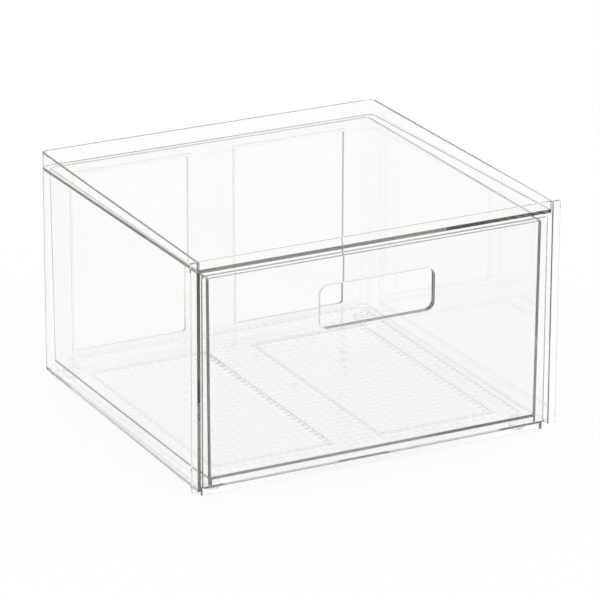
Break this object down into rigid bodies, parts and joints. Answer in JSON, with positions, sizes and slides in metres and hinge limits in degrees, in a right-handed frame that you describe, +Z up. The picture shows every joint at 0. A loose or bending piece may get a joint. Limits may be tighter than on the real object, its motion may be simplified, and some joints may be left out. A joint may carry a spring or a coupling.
{
  "type": "stackable drawer box",
  "caption": "Clear plastic stackable drawer box: open-fronted case with stacking rim and nesting skirt, and a pull-out drawer with a handle cut-out",
  "frame": {"origin": "On the ground under the middle of the box: midway between the flanges, midway from front to back, at the underside of the feet", "axes": "+Z up, -Y the front that the drawer opens towards, +X to the right as seen from the front"},
  "size_m": [0.312, 0.2848, 0.1874],
  "materials": {
    "clear_case": "clear injection-moulded styrene, polished, colourless",
    "clear_drawer": "clear injection-moulded styrene, polished, fine square grid moulded into the floor",
    "milky_foot": "soft translucent milky elastomer"
  },
  "bodies": {
    "case": {"casing_shell": "clear_case", "foot_front_left": "milky_foot", "foot_front_right": "milky_foot", "foot_rear_left": "milky_foot", "foot_rear_right": "milky_foot"},
    "drawer": {"drawer_tub": "clear_drawer", "drawer_front": "clear_drawer"}
  },
  "joints": [
    {"name": "drawer_slide", "type": "slide", "parent": "case", "child": "drawer", "axis": [0, -1, 0], "range_m": [0, 0.21]}
  ]
}
